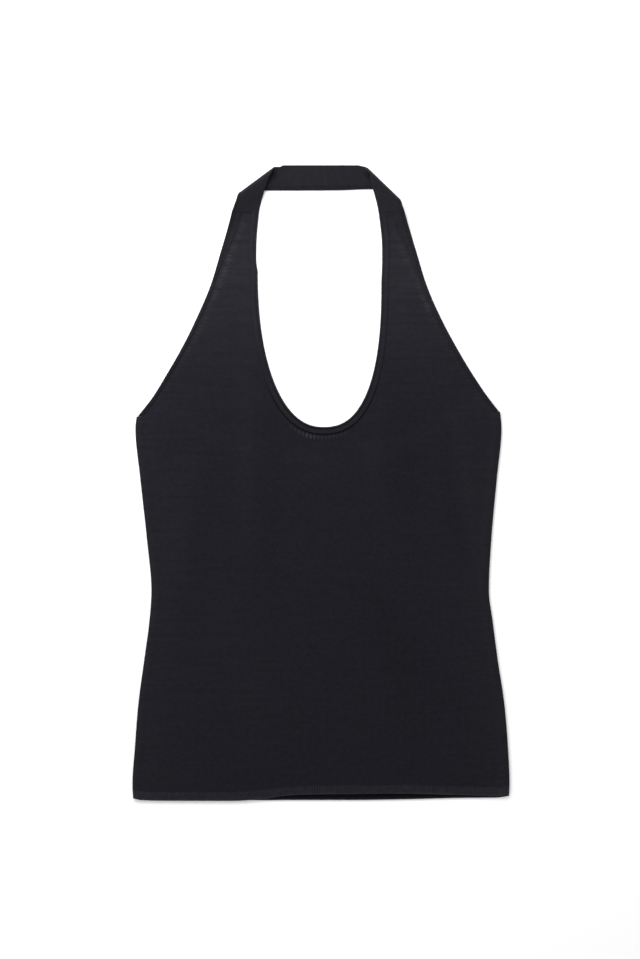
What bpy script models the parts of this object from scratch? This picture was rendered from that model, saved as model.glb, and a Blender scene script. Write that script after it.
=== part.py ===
"""Halter neck top in fine jersey knit, lying flat with its front up.

The cloth lies on the XY plane, with its neck towards +Y and its hem towards -Y. The origin is
the middle of its footprint, on the surface that it lies on. Every size is in millimetres, and
heights run up the garment from the lowest point of the hem. world() turns both into the frame.
Left and right are as seen from above.
"""

import math
from collections import namedtuple

import bpy
import numpy as np

MM = 0.001

# ---- driving dimensions -------------------------------------------------------------------

LENGTH = 648.0  # hem to the top of the neck strap
WALL = 1.2  # one layer of jersey
STRAP_WALL = 1.6
TRIM_WALL = 1.8
SEAM_GAP = 0.3  # between two pieces that are sewn together
LAYER_GAP = 0.6  # between the front and the back, laid on each other
RIB_HEIGHT = 9.5
NECK_TRIM_WIDTH = 7.2
ARMHOLE_TRIM_WIDTH = 3.5
UNDERARM_RUN_IN = 10.0  # the armhole's edge is drawn this far on below the underarm
SEAM_RISE = 0.8  # the front is lifted by the turnings inside each side seam
SEAM_RISE_WIDTH = 11.0
FOLD_RADIUS = 2.6  # to the middle of the strap's wall, at its two creases
STRAP_LEAN = 75.0  # degrees from the X axis of each leg of the strap at its crease
STRAP_FALL = 22.0  # how far from its crease the strap has come down to the surface
JERSEY_COLOUR = (0.0168, 0.0159, 0.0212, 1.0)  # linear: black with a little violet

Reach = namedtuple("Reach", "height left right")  # of an edge, to each side of the centre
Hem = namedtuple("Hem", "across front back")  # height of each hem's edge at a place across
Scoop = namedtuple("Scoop", "half_width rise power")
Crease = namedtuple("Crease", "outer_reach outer_height inner_reach inner_height")

SIDE_SEAM = (
    Reach(0.0, 191.4, 191.3),
    Reach(18.0, 192.2, 192.2),
    Reach(52.0, 189.9, 190.8),
    Reach(100.0, 186.1, 186.8),
    Reach(143.0, 180.3, 180.3),
    Reach(184.0, 174.9, 174.9),
    Reach(214.0, 172.9, 171.2),
    Reach(266.0, 177.4, 173.6),
    Reach(330.0, 184.4, 179.4),
    Reach(380.0, 189.2, 184.0),
    Reach(400.0, 186.4, 182.2),
)
UNDERARM = {"left": 391.5, "right": 396.5}  # height of the side seam's upper end

ARMHOLE = (
    Reach(391.5, 186.9, 185.5),
    Reach(410.0, 172.6, 171.2),
    Reach(435.0, 157.2, 154.4),
    Reach(465.0, 140.1, 136.6),
    Reach(495.0, 125.5, 120.9),
    Reach(525.0, 112.8, 108.0),
    Reach(560.0, 102.2, 97.2),
    Reach(590.0, 93.5, 88.1),
    Reach(600.0, 90.9, 85.3),
)

NECK_CENTRE = 2.0  # the U lies a little to one side
NECK_LOWEST = 381.1
NECK_SCOOP = {"left": Scoop(66.5, 158.0, 2.2), "right": Scoop(59.5, 148.0, 2.5)}
NECK_EDGE = (
    Reach(552.0, 66.1, 62.3),
    Reach(572.0, 65.7, 61.9),
    Reach(590.0, 64.2, 60.0),
    Reach(605.0, 62.3, 57.8),
    Reach(623.0, 57.2, 53.0),
    Reach(631.0, 54.6, 50.4),
)

HEM = (
    Hem(-192.0, 2.6, 4.0),
    Hem(-182.0, 0.7, 2.2),
    Hem(-150.0, 0.1, 1.4),
    Hem(-92.0, 0.0, 1.0),
    Hem(-57.0, 2.2, 0.5),
    Hem(-34.0, 5.4, 0.8),
    Hem(30.0, 6.9, 0.8),
    Hem(80.0, 7.3, 1.4),
    Hem(142.0, 5.9, 2.9),
    Hem(180.0, 5.0, 3.3),
    Hem(192.0, 6.8, 5.0),
)

BACK_LOWEST = 322.0  # middle of the back's top edge
BACK_SCOOP_POWER = 2.2

STRAP_START = 530.0  # where the strap begins, as wide as the armhole's trim
STRAP_BAND = (  # width of the strap's tapered end, beside the tip of the front
    Reach(STRAP_START, 3.5, 3.5),
    Reach(548.0, 5.0, 7.0),
    Reach(566.0, 7.5, 9.0),
    Reach(584.0, 9.5, 11.5),
)
STRAP_SEAM_TOP = 600.0  # where the strap takes over the whole width
STRAP_SPLIT = 0.36  # share of the crease where the line up from the band's corner ends
CREASE = {"left": Crease(83.8, 619.5, 48.0, 646.0), "right": Crease(80.4, 613.4, 47.4, 645.2)}
BRIDGE_FOOT = ((-57.0, 622.1), (-20.0, 622.2), (20.0, 622.5), (53.0, 623.6))
BRIDGE_TOP = ((-38.0, LENGTH), (-28.0, LENGTH), (26.0, LENGTH), (38.0, LENGTH))

# ---- how finely the cloth is drawn ----------------------------------------------------------

BODY_ROWS = 20
BIB_ROWS = 26
ROLL_COLUMNS = 3
PLAIN_COLUMNS = 6
RIB_ROWS = 2
FOOT_POWER, HEAD_POWER = 6, 3  # how soon a panel's rows leave its foot and head curves
BAND_STEPS = 2  # rows between two rows of the band's table
BAND_COLUMNS, INSIDE_COLUMNS = 2, 4  # across the strap, to each side of its split
LEG_ROWS = 5
FOLD_ROWS = 6
BRIDGE_ROWS = 12
FINE = 400  # points in a curve before it is shared out
SEAM_COLUMN = 5.0  # the column between a side seam's turn and the end of its rise
SMOOTH_UNDER = 50.0  # degrees between two faces that are still shaded as one
HAIR = 0.01  # keeps a cut just short of a curve's last point

SIGN = {"left": -1.0, "right": 1.0}
LAYER_LIFT = WALL + LAYER_GAP
FULL_HEIGHT = LAYER_LIFT + WALL
ROLL = (FULL_HEIGHT - SEAM_GAP) / 2  # outer radius of the turn at each side seam
LIFT_MARGIN, LIFT_FALL = 16.0, 26.0  # how the front comes down beyond the back's top edge
TRIM_ACROSS = (0.0, 0.14, 0.5, 0.86, 1.0)
TRIM_ROUND = (0.35, 0.0, 0.0, 0.0, 0.35)  # share of the wall that its edges are rounded by


# ---- curves -----------------------------------------------------------------------------------


def smooth(keys, values, at):
    """A cubic through a table's values that never swings past them."""
    keys, values, at = (np.asarray(each, float) for each in (keys, values, at))
    slope = np.diff(values) / np.diff(keys)
    tangent = np.concatenate([slope[:1], (slope[1:] + slope[:-1]) / 2, slope[-1:]])
    turns = slope[1:] * slope[:-1] <= 0
    tangent[1:-1][turns] = 0.0
    most = 3 * np.minimum(np.abs(slope[1:]), np.abs(slope[:-1]))
    tangent[1:-1] = np.clip(tangent[1:-1], -most, most)
    i = np.clip(np.searchsorted(keys, at) - 1, 0, len(slope) - 1)
    span = keys[i + 1] - keys[i]
    t = (at - keys[i]) / span
    rise = 3 * t**2 - 2 * t**3
    return (
        values[i] * (1 - rise)
        + values[i + 1] * rise
        + span * (tangent[i] * t * (1 - t) ** 2 - tangent[i + 1] * t**2 * (1 - t))
    )


def reach(table, side, heights):
    return smooth([row.height for row in table], [getattr(row, side) for row in table], heights)


def hem_height(layer, across):
    return smooth([row.across for row in HEM], [getattr(row, layer) for row in HEM], across)


def smoothstep(t):
    t = np.clip(t, 0.0, 1.0)
    return t * t * (3 - 2 * t)


def along(path):
    return np.concatenate([[0.0], np.cumsum(np.linalg.norm(np.diff(path, axis=0), axis=1))])


def across_shares(path):
    """How far along a path each of its points is, from 0 to 1."""
    length = along(path)
    return length / length[-1]


def at_shares(path, shares):
    """The points at these shares of a path's length."""
    length = along(path)
    return np.column_stack([np.interp(np.asarray(shares) * length[-1], length, c) for c in path.T])


def shared_out(path, count):
    return at_shares(path, np.linspace(0.0, 1.0, count))


def through(points):
    """A smooth path through a few points."""
    points = np.asarray(points, float)
    length = along(points)
    fine = np.linspace(0.0, length[-1], FINE)
    return np.column_stack([smooth(length, c, fine) for c in points.T])


def moved_right(path, distance):
    """The path moved to the right of its direction of travel."""
    travel = np.gradient(path, along(path), axis=0)
    travel /= np.linalg.norm(travel, axis=1)[:, None]
    return path + distance * np.column_stack([travel[:, 1], -travel[:, 0]])


def between(path, low, high):
    """The stretch of a rising path between two heights."""
    heights = np.linspace(low, high, FINE)
    return np.column_stack([np.interp(heights, path[:, 1], path[:, 0]), heights])


# ---- the outline's edges ------------------------------------------------------------------------


def fold_of(side):
    """The crease's ends, its direction, the way out over it and the strap's slip along it."""
    crease = CREASE[side]
    outer = np.array([SIGN[side] * crease.outer_reach, crease.outer_height])
    inner = np.array([SIGN[side] * crease.inner_reach, crease.inner_height])
    run = (inner - outer) / np.linalg.norm(inner - outer)
    out = np.array([-run[1], run[0]]) * -SIGN[side]
    lean = math.radians(STRAP_LEAN)
    leg = np.array([-SIGN[side] * math.cos(lean), math.sin(lean)])
    slip = FOLD_RADIUS * math.pi / math.tan(math.acos(float(leg @ run)))
    return outer, inner, run, out, slip


def leg_top(side):
    """The two ends of the strap's last straight row before its crease."""
    outer, inner, run, out, slip = fold_of(side)
    back = run * slip / 2 + out * (FOLD_RADIUS + STRAP_WALL / 2)
    return outer - back, inner - back


def side_line(side, low, high, count):
    heights = np.linspace(low, high, count)
    return np.column_stack([SIGN[side] * reach(SIDE_SEAM, side, heights), heights])


def armhole_line(side):
    """The outer edge from below the underarm up to the strap's crease."""
    heights = np.linspace(ARMHOLE[0].height - UNDERARM_RUN_IN, ARMHOLE[-1].height, FINE)
    line = np.column_stack([SIGN[side] * reach(ARMHOLE, side, heights), heights])
    return np.vstack([line, leg_top(side)[0]])


def neck_half(side):
    """The neck opening's edge from its lowest point up to the strap's crease."""
    scoop = NECK_SCOOP[side]
    turn = np.linspace(0.0, math.pi / 2, FINE)
    across = scoop.half_width * np.sin(turn) ** (2 / scoop.power)
    up = scoop.rise * (1 - np.cos(turn) ** (2 / scoop.power))
    arc = np.column_stack([NECK_CENTRE + SIGN[side] * across, NECK_LOWEST + up])
    edge = [(SIGN[side] * getattr(row, side), row.height) for row in NECK_EDGE]
    top = leg_top(side)[1]
    upper = through([arc[-1], *edge, top])
    return np.vstack([arc, upper[1:]])


def neck_line():
    """The whole neck opening's edge, down the left and up the right."""
    return np.vstack([neck_half("left")[::-1], neck_half("right")[1:]])


def neck_halves(distance, top):
    """Both halves of the neck's edge, moved out into the cloth, from the centre to a height."""
    line = shared_out(neck_line(), 2 * FINE + 1)
    line = moved_right(line, distance)
    lowest = int(np.argmin(line[:, 1]))
    halves = {"left": line[lowest::-1], "right": line[lowest:]}
    found = {}
    for side, half in halves.items():
        over = int(np.argmax(half[:, 1] > top))
        share = (top - half[over - 1, 1]) / (half[over, 1] - half[over - 1, 1])
        end = half[over - 1] + share * (half[over] - half[over - 1])
        found[side] = np.vstack([half[:over], end])
    return found


def armhole_inset(side, distance, low, high):
    """The armhole's edge moved into the cloth, between two heights."""
    return between(moved_right(armhole_line(side), -SIGN[side] * distance), low, high)


def band_border(side):
    """The armhole's edge and the band's inner border at each row of the band's table."""
    widths = [(row.height, getattr(row, side)) for row in STRAP_BAND]
    widths.append((STRAP_SEAM_TOP, widths[-1][1]))
    edge = np.array([armhole_inset(side, 0.0, height, ARMHOLE[-1].height)[0] for height, _ in widths])
    return edge, edge - [(SIGN[side] * width, 0.0) for _, width in widths]


def strap_seam(side, inner_end):
    """The strap's lower end, from the armhole's edge to the neck's edge."""
    edge, border = band_border(side)
    return np.array([edge[0], *border, (border[-1] + inner_end) / 2, inner_end])


def back_top(across):
    """Height of the back's top edge, which dips from underarm to underarm."""
    across = np.asarray(across, float)
    ends = {side: side_line(side, 0.0, UNDERARM[side], 2)[-1] for side in SIGN}
    end_x = np.where(across < 0, ends["left"][0], ends["right"][0])
    end_y = np.where(across < 0, ends["left"][1], ends["right"][1])
    return BACK_LOWEST + (end_y - BACK_LOWEST) * np.abs(across / end_x) ** BACK_SCOOP_POWER


def crease_rise(across, height):
    """How high the strap, and the tip of the front beside it, are held up near a crease."""
    rise = np.zeros(np.shape(across))
    for side in SIGN:
        outer, inner = leg_top(side)
        run = (inner - outer) / np.linalg.norm(inner - outer)
        away = np.abs(run[0] * (height - outer[1]) - run[1] * (across - outer[0]))
        near = 2 * FOLD_RADIUS * (1 - smoothstep(away / STRAP_FALL))
        rise = np.where(across * SIGN[side] > 0, near, rise)
    return rise


def front_lift(across, height):
    """How high the underside of the front lies: on the back, then down on the surface."""
    beyond = height - back_top(across)
    rest = LAYER_LIFT * (1 - smoothstep((beyond - LIFT_MARGIN) / LIFT_FALL))
    return rest + crease_rise(across, height)


# ---- meshes -----------------------------------------------------------------------------------------


def world(points):
    """(x, height, z) in millimetres to the frame, in metres."""
    moved = np.array(points, float)
    moved[..., 1] -= LENGTH / 2
    return moved * MM


def cloth_material(name, roughness):
    material = bpy.data.materials.new(name)
    material.use_nodes = True
    shader = material.node_tree.nodes["Principled BSDF"]
    shader.inputs["Base Color"].default_value = JERSEY_COLOUR
    shader.inputs["Roughness"].default_value = roughness
    shader.inputs["Metallic"].default_value = 0.0
    return material


def cloth_solid(name, patches, roughness):
    """One closed wall from patches of (upper grid, under grid), joined where their points meet."""
    numbers, upper, under, faces = {}, [], [], []
    for top, bottom in patches:
        rows, columns = top.shape[:2]
        index = np.empty((rows, columns), int)
        for i in range(rows):
            for j in range(columns):
                key = tuple(np.round(top[i, j], 4))
                if key not in numbers:
                    numbers[key] = len(upper)
                    upper.append(top[i, j])
                    under.append(bottom[i, j])
                index[i, j] = numbers[key]
        for i in range(rows - 1):
            for j in range(columns - 1):
                faces.append((index[i, j], index[i, j + 1], index[i + 1, j + 1], index[i + 1, j]))
    count = len(upper)
    edges = {(face[k - 1], face[k]) for face in faces for k in range(4)}
    rims = [(a, b) for a, b in edges if (b, a) not in edges]
    solid = [tuple(int(v) for v in face) for face in faces]
    solid += [tuple(int(v) + count for v in reversed(face)) for face in faces]
    solid += [(int(b), int(a), int(a) + count, int(b) + count) for a, b in sorted(rims)]
    mesh = bpy.data.meshes.new(name)
    mesh.from_pydata(world(upper + under).tolist(), [], solid)
    mesh.shade_smooth()
    mesh.set_sharp_from_angle(angle=math.radians(SMOOTH_UNDER))
    mesh.materials.append(cloth_material(name, roughness))
    piece = bpy.data.objects.new(name, mesh)
    bpy.context.scene.collection.objects.link(piece)
    return piece


def half_plan(outer, inner, foot=None, head=None, head_corners=None):
    """Rows of points from the outer edge to the inner edge, bent to the foot and head curves.

    head_corners are the shares of the head curve where its corners lie, one for each plain column.
    """
    turned = np.linspace(0.0, ROLL, ROLL_COLUMNS + 1)
    near = np.concatenate([turned, [SEAM_COLUMN, SEAM_RISE_WIDTH]])
    rows = []
    for i, (start, end) in enumerate(zip(outer, inner)):
        near_shares = near / np.linalg.norm(end - start)
        shares = np.concatenate(
            [near_shares, np.linspace(near_shares[-1], 1.0, PLAIN_COLUMNS + 1)[1:]]
        )
        row = start + shares[:, None] * (end - start)
        head_shares = shares
        if head_corners is not None:
            head_shares = np.concatenate([near / along(head)[-1], head_corners])
        v = i / (len(outer) - 1)
        for curve, places, weight, ends in (
            (foot, shares, (1 - v) ** FOOT_POWER, (outer[0], inner[0])),
            (head, head_shares, v**HEAD_POWER, (outer[-1], inner[-1])),
        ):
            if curve is not None:
                straight = ends[0] + shares[:, None] * (ends[1] - ends[0])
                row = row + weight * (at_shares(curve, places) - straight)
        rows.append(row)
    return np.array(rows)


def half_wall(side, plan, rolled, layer):
    """(upper grid, under grid) of half a panel, its outer edge turned where a row is rolled."""
    rows, columns = plan.shape[:2]
    turn = np.radians(np.linspace(0.0, 90.0, ROLL_COLUMNS + 1))
    flat = np.linspace(0.0, ROLL, ROLL_COLUMNS + 1)
    outside = (ROLL - ROLL * np.cos(turn) - flat, ROLL * np.sin(turn))
    inside = (ROLL - (ROLL - WALL) * np.cos(turn) - flat, (ROLL - WALL) * np.sin(turn))
    middle = (FULL_HEIGHT + SEAM_GAP) / 2
    walls = []
    for chain, lift in ((outside, WALL), (inside, 0.0)):
        grid = np.zeros((rows, columns, 3))
        grid[..., :2] = plan
        for i in range(rows):
            inward = plan[i, -1] - plan[i, 0]
            inward /= np.linalg.norm(inward)
            if layer == "front":
                z = front_lift(plan[i, :, 0], plan[i, :, 1]) + lift
                from_edge = np.linalg.norm(plan[i] - plan[i, 0], axis=1)
                rise = np.sin(np.pi * np.clip(from_edge / SEAM_RISE_WIDTH, 0.0, 1.0)) ** 2
                z = z + rolled[i] * SEAM_RISE * rise
            else:
                z = np.full(columns, LAYER_LIFT + lift)
            for j in range(ROLL_COLUMNS + 1):
                grid[i, j, :2] += rolled[i] * chain[0][j] * inward
                turned = middle + chain[1][j] + (z[j] - LAYER_LIFT - lift)
                z[j] += rolled[i] * (turned - z[j])
            grid[i, :, 2] = z
        walls.append(grid)
    if layer == "back":
        for grid in walls:
            grid[..., 2] = FULL_HEIGHT - grid[..., 2]
        walls.reverse()
    if side == "right":
        walls = [grid[:, ::-1] for grid in walls]
    return tuple(walls)


def hem_curve(layer, above, start, end):
    """A path across at one distance above a hem, from one point's place to another's."""
    across = np.linspace(start, end, FINE)
    return np.column_stack([across, hem_height(layer, across) + above])


def body_edges(side, layer, top, centre_top):
    """The outer and inner ends of a panel's rows, from the hem's rib up to the underarm."""
    above = RIB_HEIGHT + SEAM_GAP
    foot_x = SIGN[side] * reach(SIDE_SEAM, side, above)
    foot = hem_curve(layer, above, foot_x, NECK_CENTRE)
    outer = side_line(side, foot[0, 1], top, BODY_ROWS + 1)
    foot[:, 0] += (outer[0, 0] - foot_x) * np.linspace(1.0, 0.0, FINE)
    inner = np.column_stack(
        [np.full(BODY_ROWS + 1, NECK_CENTRE), np.linspace(foot[-1, 1], centre_top, BODY_ROWS + 1)]
    )
    return outer, inner, foot


def make_front_panel():
    neck = neck_halves(NECK_TRIM_WIDTH + SEAM_GAP, STRAP_SEAM_TOP - SEAM_GAP)
    patches = []
    for side in SIGN:
        top = UNDERARM[side] - SEAM_GAP
        bottom_centre = neck[side][0]
        outer, inner, foot = body_edges(side, "front", top, bottom_centre[1])
        inner[:, 0] = bottom_centre[0]
        inset = ARMHOLE_TRIM_WIDTH + SEAM_GAP
        armhole = armhole_inset(side, inset, top, STRAP_START - SEAM_GAP)
        outer = np.vstack([outer, shared_out(armhole, BIB_ROWS)])
        inner = np.vstack([inner, shared_out(neck[side], BIB_ROWS + 1)[1:]])
        seam = strap_seam(side, inner[-1] + [0.0, SEAM_GAP])
        head = moved_right(seam[1:], -SIGN[side] * SEAM_GAP)
        head[0], head[-1] = outer[-1], inner[-1]
        plan = half_plan(outer, inner, foot, head, across_shares(head)[1:])
        rolled = [float(i < BODY_ROWS) for i in range(len(outer))]
        patches.append(half_wall(side, plan, rolled, "front"))
    return cloth_solid("front_panel", patches, roughness=0.85)


def make_back_panel():
    patches = []
    for side in SIGN:
        outer, inner, foot = body_edges(side, "back", UNDERARM[side] - SEAM_GAP, BACK_LOWEST)
        across = np.linspace(outer[-1, 0], NECK_CENTRE, FINE)
        head = np.column_stack([across, back_top(across)])
        inner[:, 1] = np.linspace(inner[0, 1], head[-1, 1], BODY_ROWS + 1)
        head[0] = outer[-1]
        plan = half_plan(outer, inner, foot, head)
        rolled = [float(i < BODY_ROWS) for i in range(len(outer))]
        patches.append(half_wall(side, plan, rolled, "back"))
    return cloth_solid("back_panel", patches, roughness=0.85)


def make_hem_rib(layer):
    patches = []
    for side in SIGN:
        rows = []
        for up in np.linspace(0.0, RIB_HEIGHT, RIB_ROWS + 1):
            edge_height = hem_height(layer, SIGN[side] * getattr(SIDE_SEAM[0], side)) + up
            edge = side_line(side, edge_height, edge_height + 1.0, 2)[0]
            row = half_plan([edge, edge], [[NECK_CENTRE, 0.0]] * 2)[0]
            row[:, 1] = hem_height(layer, row[:, 0]) + up
            rows.append(row)
        patches.append(half_wall(side, np.array(rows), [1.0] * (RIB_ROWS + 1), layer))
    return cloth_solid(f"{layer}_hem_rib", patches, roughness=0.9)


def make_trim(name, edge, inset):
    """A flat band with rounded edges between two paths, lying where the front does."""
    plan = edge[:, None] + np.array(TRIM_ACROSS)[None, :, None] * (inset - edge)[:, None]
    middle = plan[:, 2]
    lift = front_lift(middle[:, 0], middle[:, 1])[:, None]
    rounding = TRIM_WALL * np.array(TRIM_ROUND)[None]
    upper = np.dstack([plan, lift + TRIM_WALL - rounding])
    under = np.dstack([plan, lift + rounding])
    return cloth_solid(name, [(upper, under)], roughness=0.8)


def make_neckline_trim():
    top = STRAP_SEAM_TOP - SEAM_GAP
    edges = []
    for distance in (0.0, NECK_TRIM_WIDTH):
        halves = neck_halves(distance, top)
        left, right = (shared_out(halves[side], BIB_ROWS + 1) for side in ("left", "right"))
        edges.append(np.vstack([left[::-1], right[1:]]))
    return make_trim("neckline_trim", edges[0], edges[1])


def make_armhole_trim(side):
    span = (UNDERARM[side], STRAP_START - SEAM_GAP)
    edge, inset = (
        shared_out(armhole_inset(side, distance, *span), BIB_ROWS // 2 + 1)
        for distance in (0.0, ARMHOLE_TRIM_WIDTH)
    )
    if side == "right":
        edge, inset = inset, edge
    return make_trim(f"armhole_trim_{side}", edge, inset)


def held_up(plan):
    """The middle of the strap's wall over each point of a plan."""
    return np.dstack([plan, STRAP_WALL / 2 + crease_rise(plan[..., 0], plan[..., 1])])


def band_grid(side):
    """The tapered band beside the tip of the front, up to where the strap is whole."""
    _, border = band_border(side)
    knots = np.linspace(0, len(border) - 1, BAND_STEPS * (len(border) - 1) + 1)
    border = np.column_stack([np.interp(knots, range(len(border)), c) for c in border.T])
    whole = armhole_inset(side, 0.0, STRAP_START, STRAP_SEAM_TOP)
    edge = np.column_stack([np.interp(border[:, 1], whole[:, 1], whole[:, 0]), border[:, 1]])
    share = np.linspace(0.0, 1.0, BAND_COLUMNS + 1)[None, :, None]
    return held_up(edge[:, None] + share * (border - edge)[:, None])


def leg_grid(side):
    """The whole strap's middle surface from the top of its seam to its crease."""
    last = leg_top(side)
    corner = band_border(side)[1][-1]
    inner_start = neck_halves(0.0, STRAP_SEAM_TOP)[side][-1]
    inner_line = neck_halves(0.0, last[1][1] - HAIR)[side]
    upper = inner_line[inner_line[:, 1] > STRAP_SEAM_TOP]
    outer = shared_out(armhole_inset(side, 0.0, STRAP_SEAM_TOP, last[0][1]), LEG_ROWS + 1)
    outer[-1] = last[0]
    split = shared_out(np.array([corner, last[0] + STRAP_SPLIT * (last[1] - last[0])]), LEG_ROWS + 1)
    inner = shared_out(np.vstack([inner_start, upper, last[1]]), LEG_ROWS + 1)
    grids = []
    for start, end, columns in ((outer, split, BAND_COLUMNS), (split, inner, INSIDE_COLUMNS)):
        share = np.linspace(0.0, 1.0, columns + 1)[None, :, None]
        grids.append(start[:, None] + share * (end - start)[:, None])
    return held_up(np.hstack([grids[0], grids[1][:, 1:]]))


def fold_grid(side, crease_row):
    """The rows that wrap round the crease, from the leg down to the back of the neck."""
    _, _, run, out, slip = fold_of(side)
    rows, facing = [], []
    for turn in np.linspace(0.0, math.pi, FOLD_ROWS + 1):
        moved = run * slip * turn / math.pi + out * FOLD_RADIUS * math.sin(turn)
        down = FOLD_RADIUS * (1 - math.cos(turn))
        rows.append(crease_row + [*moved, -down])
        facing.append([*(out * math.sin(turn)), math.cos(turn)])
    return np.array(rows), np.array(facing)


def make_neck_strap():
    legs = {side: leg_grid(side) for side in SIGN}
    folds = {side: fold_grid(side, legs[side][-1]) for side in SIGN}
    left_end, right_end = folds["left"][0][-1], folds["right"][0][-1]
    foot = shared_out(through([left_end[0, :2], *BRIDGE_FOOT, right_end[0, :2]]), BRIDGE_ROWS + 1)
    top = shared_out(through([left_end[-1, :2], *BRIDGE_TOP, right_end[-1, :2]]), BRIDGE_ROWS + 1)
    bridge = []
    for i, v in enumerate(np.linspace(0.0, 1.0, BRIDGE_ROWS + 1)):
        u = (1 - v) * across_shares(left_end) + v * across_shares(right_end)
        row = foot[i] + u[:, None] * (top[i] - foot[i])
        bridge.append(np.column_stack([row, np.full(len(row), STRAP_WALL / 2)]))
    middle = np.concatenate(
        [legs["left"][:-1], folds["left"][0], np.array(bridge)[1:-1]]
        + [folds["right"][0][::-1], legs["right"][::-1][1:]]
    )
    up, down = np.array([0.0, 0.0, 1.0]), np.array([0.0, 0.0, -1.0])
    facing = np.concatenate(
        [np.tile(up, (LEG_ROWS, 1)), folds["left"][1], np.tile(down, (BRIDGE_ROWS - 1, 1))]
        + [folds["right"][1][::-1], np.tile(up, (LEG_ROWS, 1))]
    )
    half = facing[:, None] * STRAP_WALL / 2
    patches = [(middle + half, middle - half)]
    half = up * STRAP_WALL / 2
    for grid in (band_grid("left"), band_grid("right")[::-1]):
        patches.append((grid + half, grid - half))
    return cloth_solid("neck_strap", patches, roughness=0.8)


def clear_scene():
    for old in list(bpy.data.objects):
        bpy.data.objects.remove(old, do_unlink=True)


clear_scene()
make_front_panel()
make_back_panel()
make_hem_rib("front")
make_hem_rib("back")
make_neck_strap()
make_neckline_trim()
make_armhole_trim("left")
make_armhole_trim("right")
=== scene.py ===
# %% [markdown]
# # A halter neck top in fine jersey, laid flat with its front up
#
# The real top is knitted to shape: a front with a high bib, a lower back, a narrow rib along
# both hems, a bound neckline and armholes, and one strap that starts beside each tip of the bib,
# folds over at a slanting crease and runs level behind the neck.
#
# Each piece is a thin closed shell: an upper skin, an under skin and a rim between them. A plane
# with a Solidify modifier could do it too, but a skin that is worked out point by point lets
# each side seam turn, each trim sink and each stitch lie on its own cloth.

# %% Load the frame
import math
import random
from collections import namedtuple
from functools import partial

import bpy
import numpy as np
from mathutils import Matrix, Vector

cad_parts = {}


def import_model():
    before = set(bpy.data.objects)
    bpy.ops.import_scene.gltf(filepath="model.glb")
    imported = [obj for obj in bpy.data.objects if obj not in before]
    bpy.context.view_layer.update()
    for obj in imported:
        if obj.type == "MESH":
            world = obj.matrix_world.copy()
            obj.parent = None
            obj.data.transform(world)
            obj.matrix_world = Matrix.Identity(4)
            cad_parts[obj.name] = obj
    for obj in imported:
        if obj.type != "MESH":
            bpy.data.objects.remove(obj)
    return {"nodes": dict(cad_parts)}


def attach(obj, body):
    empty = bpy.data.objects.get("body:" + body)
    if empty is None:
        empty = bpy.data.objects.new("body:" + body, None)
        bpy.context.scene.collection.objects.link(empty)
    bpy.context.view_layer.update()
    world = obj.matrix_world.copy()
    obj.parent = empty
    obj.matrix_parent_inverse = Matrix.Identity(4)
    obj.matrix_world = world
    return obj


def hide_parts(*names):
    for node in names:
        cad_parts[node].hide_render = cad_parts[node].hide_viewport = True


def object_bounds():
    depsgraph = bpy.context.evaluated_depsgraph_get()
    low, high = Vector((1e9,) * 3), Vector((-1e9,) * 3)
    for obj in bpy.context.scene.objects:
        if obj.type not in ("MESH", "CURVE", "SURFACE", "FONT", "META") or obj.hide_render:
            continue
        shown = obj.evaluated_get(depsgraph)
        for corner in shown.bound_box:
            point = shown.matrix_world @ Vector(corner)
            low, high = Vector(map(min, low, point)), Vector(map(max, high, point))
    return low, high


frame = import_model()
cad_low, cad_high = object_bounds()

MM = 0.001
BASE = cad_low.y / MM  # the lowest point of the hem, in millimetres along Y
LENGTH = (cad_high.y - cad_low.y) / MM
print(f"the frame is {LENGTH:.1f} mm long, and its pieces are {sorted(frame['nodes'])}")

# %% [markdown]
# ## Sizes
#
# Heights run up from the lowest point of the hem, and reaches run out from the centre line, in
# millimetres. A few rows for each edge are enough, because a smooth curve is drawn through them.

# %% The garment's sizes
Reach = namedtuple("Reach", "height left right")
Hem = namedtuple("Hem", "across front back")
Scoop = namedtuple("Scoop", "half_width rise power")
Crease = namedtuple("Crease", "outer_reach outer_height inner_reach inner_height")

WALL, STRAP_WALL, TRIM_WALL = 1.2, 1.6, 1.8
SEAM_LAP, SIDE_GAP, LAYER_GAP = 0.35, 0.1, 0.6  # sewn edges lie a little over each other
RIB_HEIGHT, NECK_TRIM_WIDTH, ARMHOLE_TRIM_WIDTH = 9.5, 7.2, 3.5
SEAM_RISE, SEAM_RISE_WIDTH = 0.8, 11.0  # the turnings inside a side seam lift the front
FOLD_RADIUS, STRAP_LEAN, STRAP_FALL, STRAP_SPLIT = 2.6, 75.0, 22.0, 0.36

SIDE_SEAM = (
    Reach(0.0, 191.4, 191.3),
    Reach(18.0, 192.2, 192.2),
    Reach(52.0, 189.9, 190.8),
    Reach(100.0, 186.1, 186.8),
    Reach(143.0, 180.3, 180.3),
    Reach(184.0, 174.9, 174.9),
    Reach(214.0, 172.9, 171.2),
    Reach(266.0, 177.4, 173.6),
    Reach(330.0, 184.4, 179.4),
    Reach(380.0, 189.2, 184.0),
    Reach(400.0, 186.4, 182.2),
)
UNDERARM = {"left": 391.5, "right": 396.5}
ARMHOLE = (
    Reach(391.5, 186.9, 185.5),
    Reach(410.0, 172.6, 171.2),
    Reach(435.0, 157.2, 154.4),
    Reach(465.0, 140.1, 136.6),
    Reach(495.0, 125.5, 120.9),
    Reach(525.0, 112.8, 108.0),
    Reach(560.0, 102.2, 97.2),
    Reach(590.0, 93.5, 88.1),
    Reach(600.0, 90.9, 85.3),
)
UNDERARM_RUN_IN = 10.0
NECK_CENTRE, NECK_LOWEST = 2.0, 381.1
NECK_SCOOP = {"left": Scoop(66.5, 158.0, 2.2), "right": Scoop(59.5, 148.0, 2.5)}
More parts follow.
